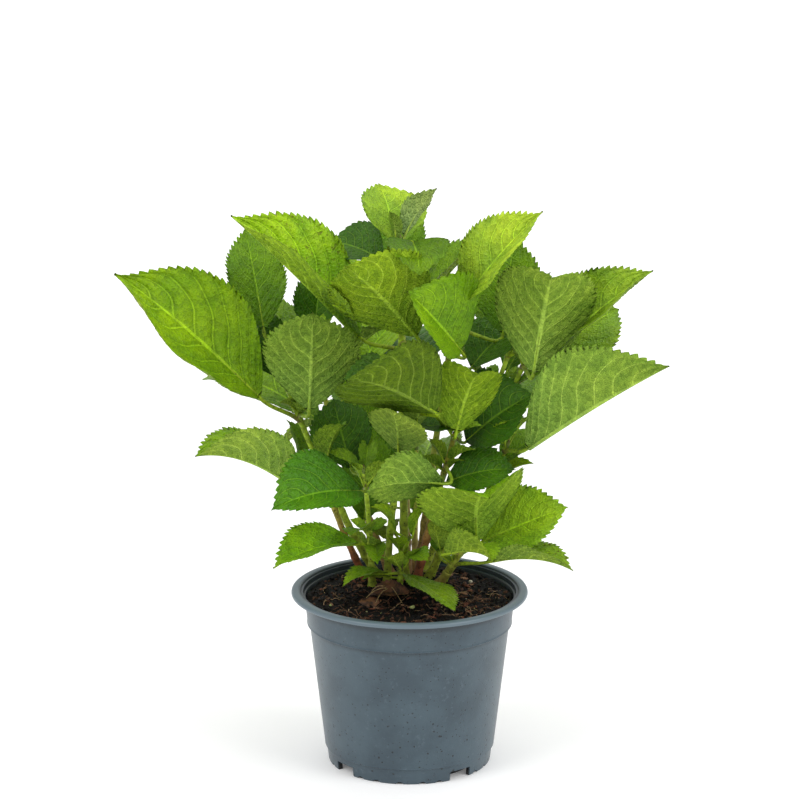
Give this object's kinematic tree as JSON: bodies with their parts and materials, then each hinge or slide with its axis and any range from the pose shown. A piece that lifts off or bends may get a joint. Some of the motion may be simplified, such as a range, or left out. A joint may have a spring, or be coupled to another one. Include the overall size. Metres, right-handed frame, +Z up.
{
  "type": "potted hydrangea shrub",
  "caption": "Young leafy hydrangea shrub: woody shoots with broad toothed leaves in pairs, growing from peat in a round plastic nursery pot.",
  "frame": {"origin": "centre of the pot's flat underside", "axes": "+Z up along the pot's axis, -Y towards the viewer, +X to the viewer's right"},
  "size_m": [0.4311, 0.3134, 0.4695],
  "materials": {
    "pot": "matte blue-grey moulded plastic with fine pits and scuffs",
    "peat": "damp crumbly dark brown peat",
    "bark": "young bark, green to red-brown with dark spots",
    "leaves": "satin green leaf with raised pale veins"
  },
  "bodies": {
    "root": {"pot": "pot", "peat": "peat", "bough_left": "bark", "mass_left": "leaves", "bough_lower_left": "bark", "mass_lower_left": "leaves", "bough_low_left": "bark", "mass_low_left": "leaves", "bough_front_centre": "bark", "mass_front_centre": "leaves", "bough_centre": "bark", "mass_centre": "leaves", "bough_upper_right": "bark", "mass_upper_right": "leaves", "bough_right": "bark", "mass_right": "leaves", "bough_far_right": "bark", "mass_far_right": "leaves", "bough_front_right": "bark", "mass_front_right": "leaves", "bough_low_right": "bark", "mass_low_right": "leaves", "bough_low_front": "bark", "mass_low_front": "leaves", "bough_young": "bark", "mass_young": "leaves", "bough_back_left": "bark", "mass_back_left": "leaves", "bough_back": "bark", "mass_back": "leaves", "bough_back_right": "bark", "mass_back_right": "leaves", "bough_low_back": "bark", "mass_low_back": "leaves"}
  },
  "joints": []
}
